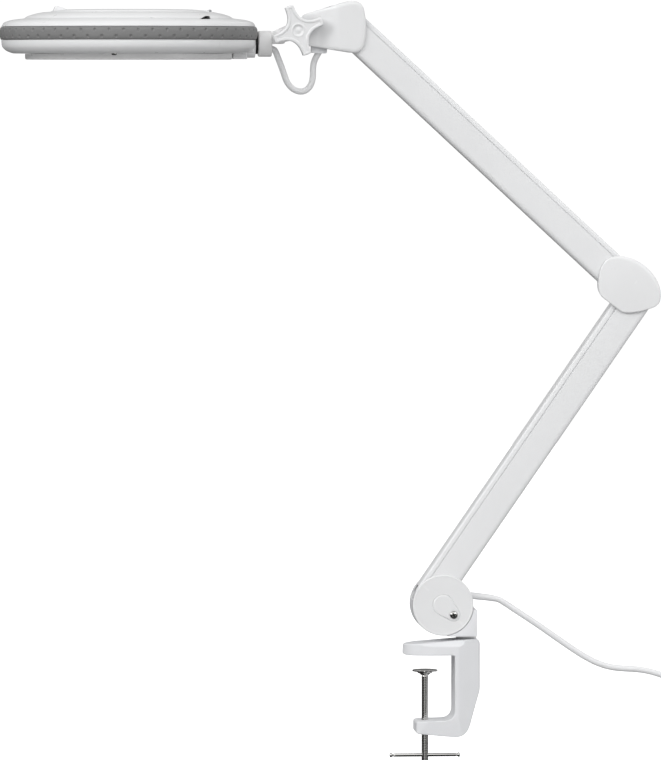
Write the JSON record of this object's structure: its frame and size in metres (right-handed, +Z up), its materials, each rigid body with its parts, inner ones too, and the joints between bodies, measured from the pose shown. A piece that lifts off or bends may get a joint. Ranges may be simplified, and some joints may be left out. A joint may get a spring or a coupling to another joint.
{
  "type": "magnifying lamp",
  "caption": "Clamp-on magnifier lamp: a ring-lit lens with a hinged cover, on a sprung double parallelogram arm with a friction-locked head and a swivelling base.",
  "frame": {"origin": "underside of the clamp's upper jaw, straight above the clamp screw", "axes": "+Z up; +X from the clamp screw towards the clamp's column and the power cord, in the plane of the arms; +Y across the arms, away from the knob side"},
  "size_m": [0.7925, 0.2312, 0.6878],
  "materials": {
    "painted_casting": "semi-gloss off-white powder coat on a die casting",
    "painted_steel": "semi-gloss off-white powder coat on folded sheet",
    "white_plastic": "moulded, satin to gloss",
    "grey_plastic": "moulded, light grey",
    "grip_rubber": "matt mid-grey, dimpled",
    "chrome": "polished plate",
    "bare_steel": "zinc plated",
    "lens_glass": "clear, polished",
    "diffuser": "translucent moulding",
    "circuit_board": "white solder mask",
    "black_nylon": "moulded",
    "cord_jacket": "soft light-grey sheath"
  },
  "bodies": {
    "clamp": {"clamp_frame": "painted_casting", "post_bush": "black_nylon"},
    "pad": {"pressure_pad": "chrome"},
    "screw": {"clamp_screw": "chrome"},
    "bar": {"tommy_bar": "chrome"},
    "base": {"swivel_post": "bare_steel", "base_bracket": "painted_casting", "base_cover_front": "white_plastic", "base_cover_rear": "white_plastic", "pivot_cap": "white_plastic", "pivot_cap_screw": "chrome", "base_arm_pin": "bare_steel", "base_link_pin": "bare_steel", "cord_strain_relief": "cord_jacket", "power_cord_lead": "cord_jacket", "power_cord_coil": "cord_jacket", "cord_tie": "black_nylon", "mains_plug": "white_plastic"},
    "lower_arm": {"lower_arm_channel": "painted_steel", "lower_spring": "bare_steel", "lower_arm_cable": "cord_jacket"},
    "lower_link": {"lower_arm_link": "painted_steel"},
    "elbow": {"elbow_plate": "painted_casting", "elbow_cover_front": "white_plastic", "elbow_cover_rear": "white_plastic", "elbow_lower_arm_pin": "bare_steel", "elbow_lower_link_pin": "bare_steel", "elbow_upper_arm_pin": "bare_steel", "elbow_upper_link_pin": "bare_steel"},
    "upper_arm": {"upper_arm_channel": "painted_steel", "upper_spring": "bare_steel", "upper_arm_cable": "cord_jacket"},
    "upper_link": {"upper_arm_link": "painted_steel"},
    "bracket": {"head_bracket": "painted_casting", "bracket_cover_front": "white_plastic", "bracket_cover_rear": "white_plastic", "bracket_arm_pin": "bare_steel", "bracket_link_pin": "bare_steel", "knob_stud": "bare_steel", "friction_washer_front": "black_nylon", "friction_washer_rear": "black_nylon", "pigtail_cable": "cord_jacket"},
    "neck": {"neck_knuckle": "grey_plastic"},
    "knob": {"star_knob": "white_plastic"},
    "head": {"head_spigot": "bare_steel", "lower_housing": "white_plastic", "upper_housing": "white_plastic", "grip_band": "grip_rubber", "lens": "lens_glass", "lens_retaining_ring": "grey_plastic", "light_ring_cover": "diffuser", "led_board": "circuit_board", "driver_board": "circuit_board", "lid_hinge_pin": "bare_steel", "housing_screw_1": "chrome", "housing_screw_2": "chrome", "housing_screw_3": "chrome"},
    "lid": {"lens_cover": "white_plastic"},
    "button": {"power_button": "grey_plastic"}
  },
  "joints": [
    {"name": "screw_travel", "type": "slide", "parent": "clamp", "child": "pad", "axis": [0, 0, 1], "range_m": [-0.0381, 0.01351]},
    {"name": "screw_turn", "type": "hinge", "parent": "pad", "child": "screw", "pos_m": [0, 0, -0.05], "axis": [0, 0, 1], "range_deg": [-9120, 3240]},
    {"name": "tommy_slide", "type": "slide", "parent": "screw", "child": "bar", "axis": [1, 0, 0], "range_m": [-0.0262, 0.0262]},
    {"name": "base_swivel", "type": "hinge", "parent": "clamp", "child": "base", "pos_m": [0.0374, 0, 0], "axis": [0, 0, 1], "range_deg": [-175, 175]},
    {"name": "lower_arm_tilt", "type": "hinge", "parent": "base", "child": "lower_arm", "pos_m": [0.01067, 0, 0.04834], "axis": [0, 1, 0], "range_deg": [-38, 22]},
    {"name": "lower_link_tilt", "type": "hinge", "parent": "base", "child": "lower_link", "pos_m": [-0.00167, 0, 0.05686], "axis": [0, 1, 0], "range_deg": [-39, 23]},
    {"name": "elbow_level", "type": "hinge", "parent": "lower_arm", "child": "elbow", "pos_m": [0.19647, 0, 0.31734], "axis": [0, 1, 0], "range_deg": [-23, 39]},
    {"name": "upper_arm_tilt", "type": "hinge", "parent": "elbow", "child": "upper_arm", "pos_m": [0.1646, 0, 0.339], "axis": [0, 1, 0], "range_deg": [-38, 38]},
    {"name": "upper_link_tilt", "type": "hinge", "parent": "elbow", "child": "upper_link", "pos_m": [0.1748, 0, 0.35], "axis": [0, 1, 0], "range_deg": [-39, 39]},
    {"name": "bracket_level", "type": "hinge", "parent": "upper_arm", "child": "bracket", "pos_m": [-0.0758, 0, 0.562], "axis": [0, 1, 0], "range_deg": [-39, 39]},
    {"name": "head_tilt", "type": "hinge", "parent": "bracket", "child": "neck", "pos_m": [-0.1161, 0, 0.5622], "axis": [0, 1, 0], "range_deg": [-80, 45], "deforming": ["pigtail_cable"]},
    {"name": "knob_turn", "type": "hinge", "parent": "bracket", "child": "knob", "pos_m": [-0.1161, 0, 0.5622], "axis": [0, -1, 0], "range_deg": [-180, 180]},
    {"name": "head_roll", "type": "hinge", "parent": "neck", "child": "head", "pos_m": [-0.1447, 0, 0.5502], "axis": [1, 0, 0], "range_deg": [-90, 90]},
    {"name": "lid_open", "type": "hinge", "parent": "head", "child": "lid", "pos_m": [-0.1946, 0, 0.5793], "axis": [0, 1, 0], "range_deg": [0, 110]},
    {"name": "button_press", "type": "slide", "parent": "head", "child": "button", "axis": [0, 0, 1], "range_m": [-0.0015, 0], "stiffness_N_per_m": 500}
  ],
  "couplings": [
    {"joint": "screw_travel", "follows": "screw_turn", "m_per_rad": 0.00023873},
    {"joint": "lower_link_tilt", "follows": "lower_arm_tilt", "ratio": 1},
    {"joint": "elbow_level", "follows": "lower_arm_tilt", "ratio": -1},
    {"joint": "upper_link_tilt", "follows": "upper_arm_tilt", "ratio": 1},
    {"joint": "bracket_level", "follows": "upper_arm_tilt", "ratio": -1}
  ]
}
